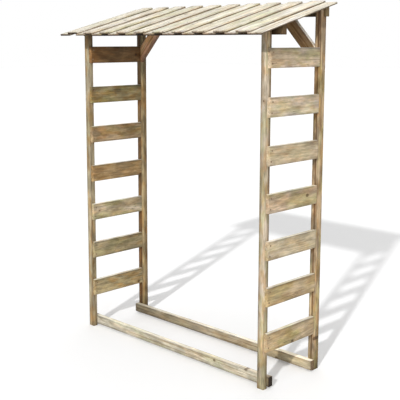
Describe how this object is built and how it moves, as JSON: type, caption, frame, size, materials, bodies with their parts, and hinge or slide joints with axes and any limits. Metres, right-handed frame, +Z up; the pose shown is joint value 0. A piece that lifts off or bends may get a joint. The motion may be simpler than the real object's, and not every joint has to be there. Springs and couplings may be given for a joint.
{
  "type": "log store",
  "caption": "Open timber log store with two slatted side frames, floor rails, knee braces and a sloping board roof.",
  "frame": {"origin": "on the floor under the middle of the roof", "axes": "+Z up, +X along the store's length to the right, -Y out of the low open front"},
  "size_m": [1.424, 0.5526, 1.8204],
  "materials": {
    "timber": "matte",
    "slats": "matte",
    "roof_boards": "matte",
    "screws": "satin"
  },
  "bodies": {
    "root": {"post_near_left": "timber", "post_near_right": "timber", "post_far_left": "timber", "post_far_right": "timber", "brace_left": "timber", "brace_right": "timber", "rail_near": "timber", "rail_far": "timber", "purlin_low": "timber", "purlin_high": "timber", "slat_left_1": "slats", "slat_left_2": "slats", "slat_left_3": "slats", "slat_left_4": "slats", "slat_left_5": "slats", "slat_left_6": "slats", "slat_left_7": "slats", "slat_right_1": "slats", "slat_right_2": "slats", "slat_right_3": "slats", "slat_right_4": "slats", "slat_right_5": "slats", "slat_right_6": "slats", "slat_right_7": "slats", "roof_lower_1": "roof_boards", "roof_lower_2": "roof_boards", "roof_lower_3": "roof_boards", "roof_lower_4": "roof_boards", "roof_lower_5": "roof_boards", "roof_lower_6": "roof_boards", "roof_lower_7": "roof_boards", "roof_lower_8": "roof_boards", "roof_lower_9": "roof_boards", "roof_lower_10": "roof_boards", "roof_lower_11": "roof_boards", "roof_upper_1": "roof_boards", "roof_upper_2": "roof_boards", "roof_upper_3": "roof_boards", "roof_upper_4": "roof_boards", "roof_upper_5": "roof_boards", "roof_upper_6": "roof_boards", "roof_upper_7": "roof_boards", "roof_upper_8": "roof_boards", "roof_upper_9": "roof_boards", "roof_upper_10": "roof_boards"}
  },
  "joints": []
}
